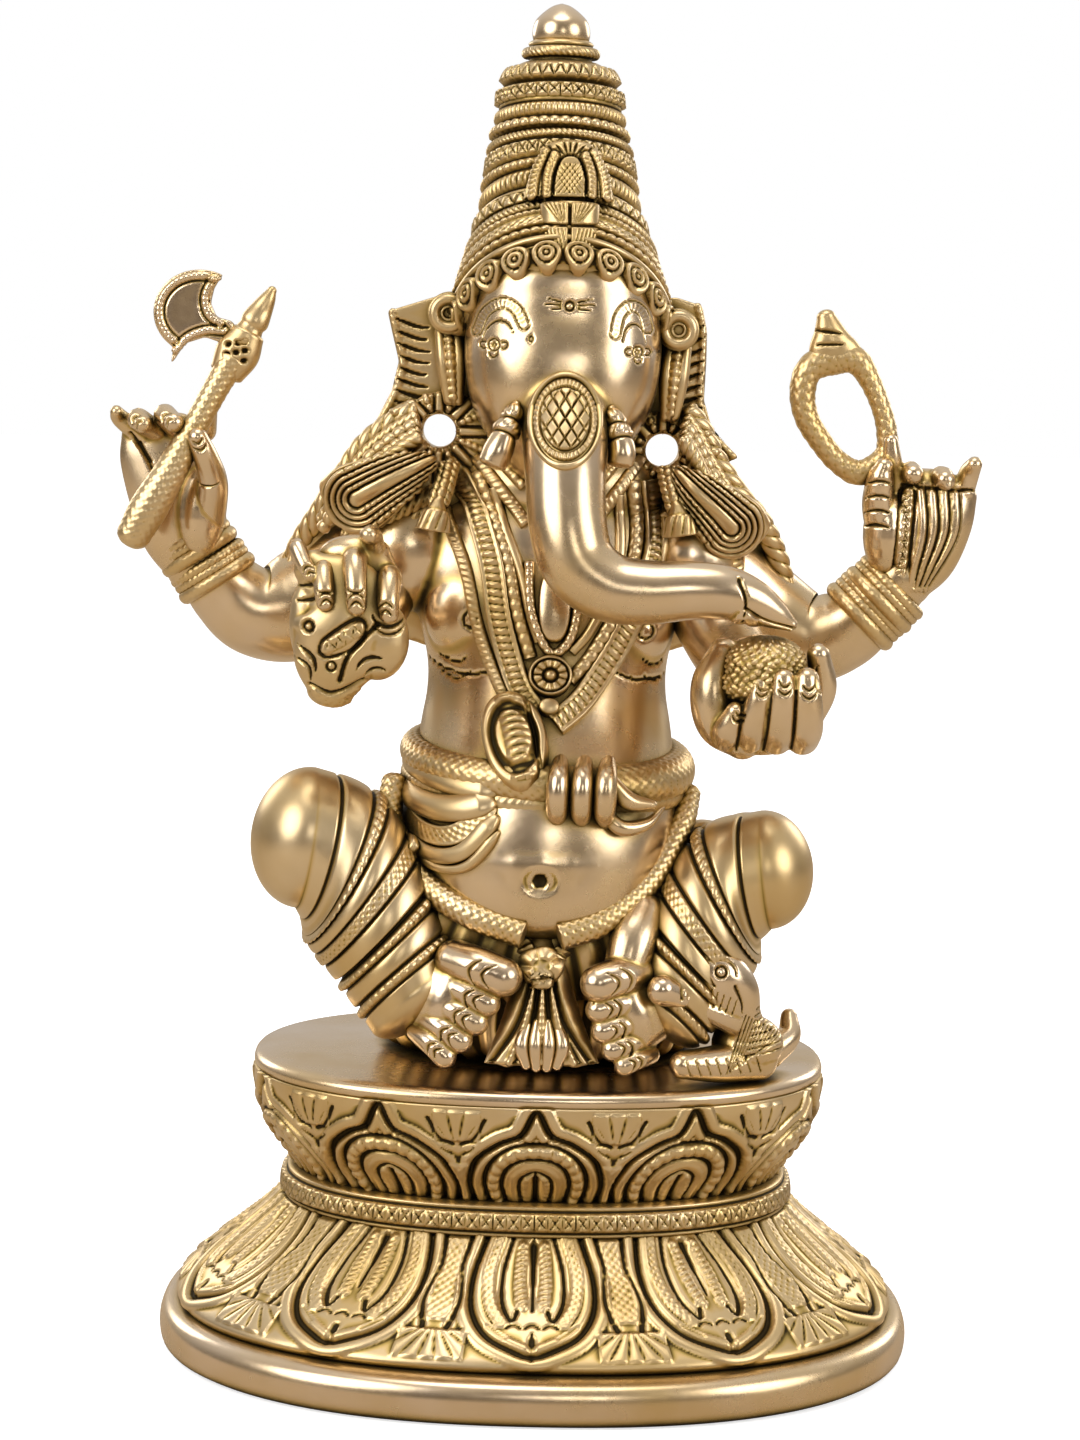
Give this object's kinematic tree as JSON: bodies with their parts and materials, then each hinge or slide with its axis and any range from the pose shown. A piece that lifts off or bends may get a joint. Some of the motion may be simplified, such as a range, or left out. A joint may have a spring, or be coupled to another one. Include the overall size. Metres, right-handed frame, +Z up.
{
  "type": "ganesha idol",
  "caption": "Seated elephant-headed deity idol in cast brass, with a tall crown, raised arms and a mouse, on an oval double-lotus pedestal.",
  "frame": {"origin": "on the surface the pedestal stands on, at the middle of the object's box", "axes": "+Z up, the figure faces -Y, its own right hand is at -X"},
  "size_m": [0.1293, 0.092, 0.203],
  "materials": {
    "polished_brass": "polished cast brass, rubbed bright on the smooth skin",
    "chased_brass": "chased cast brass with a dark patina left in the recesses"
  },
  "bodies": {
    "root": {"axe_blade": "polished_brass", "axe_shaft": "polished_brass", "back_shawl": "chased_brass", "base_plinth": "polished_brass", "bead_ring": "polished_brass", "belt_knot": "chased_brass", "broken_tusk": "chased_brass", "crown_brim": "chased_brass", "crown_collar": "chased_brass", "crown_crest": "chased_brass", "crown_finial": "chased_brass", "crown_lower_tier": "chased_brass", "crown_upper_tier": "chased_brass", "dhoti_hem": "chased_brass", "front_left_arm": "polished_brass", "front_left_hand": "polished_brass", "front_pleat": "chased_brass", "front_right_arm": "polished_brass", "front_right_hand": "polished_brass", "garland": "chased_brass", "head": "polished_brass", "hip_sash": "chased_brass", "lap_and_hips": "polished_brass", "left_ear": "polished_brass", "left_ear_rosette": "chased_brass", "left_epaulette": "chased_brass", "left_foot": "polished_brass", "left_leg": "polished_brass", "left_tusk": "polished_brass", "lower_lotus": "polished_brass", "mouse": "polished_brass", "noose": "chased_brass", "pendant": "chased_brass", "rear_left_arm": "polished_brass", "rear_left_bracelets": "chased_brass", "rear_left_hand": "polished_brass", "rear_right_arm": "polished_brass", "rear_right_bracelets": "chased_brass", "rear_right_hand": "polished_brass", "right_ear": "polished_brass", "right_ear_rosette": "chased_brass", "right_epaulette": "chased_brass", "right_foot": "polished_brass", "right_leg": "polished_brass", "right_tusk": "polished_brass", "seat_plate": "polished_brass", "serpent_belt": "chased_brass", "serpent_hood": "chased_brass", "sweet_ball": "chased_brass", "torso": "polished_brass", "trunk": "polished_brass", "upper_lotus": "polished_brass"}
  },
  "joints": []
}
